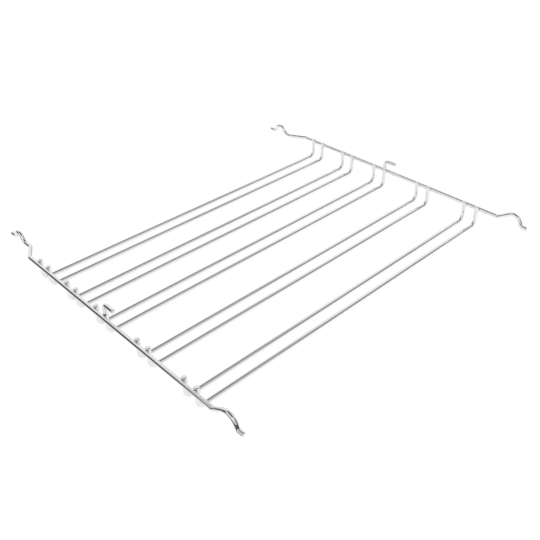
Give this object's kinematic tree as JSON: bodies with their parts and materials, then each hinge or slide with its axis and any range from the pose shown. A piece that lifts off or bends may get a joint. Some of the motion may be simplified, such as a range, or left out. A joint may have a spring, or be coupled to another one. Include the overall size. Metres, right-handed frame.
{
  "type": "oven shelf support",
  "caption": "Welded wire rack that hangs on an oven's side wall: paired runner wires for shelf edges, hook arms, and uprights bent into humps that end in pins.",
  "frame": {"origin": "under the middle of the rack, on the surface that its runner wires lie on, wall side up", "axes": "+X down the oven wall, +Y from the door to the back of the oven, +Z towards the oven's side wall"},
  "size_m": [0.3667, 0.3942, 0.0355],
  "materials": {
    "plated_wire": "bright plate over drawn steel wire"
  },
  "bodies": {
    "root": {"front_upright": "plated_wire", "rear_upright": "plated_wire", "level_5_upper_runner": "plated_wire", "level_5_lower_runner": "plated_wire", "level_4_upper_runner": "plated_wire", "level_4_lower_runner": "plated_wire", "level_3_upper_runner": "plated_wire", "level_3_hook_runner": "plated_wire", "level_2_upper_runner": "plated_wire", "level_2_lower_runner": "plated_wire", "level_1_upper_runner": "plated_wire", "level_1_lower_runner": "plated_wire"}
  },
  "joints": []
}
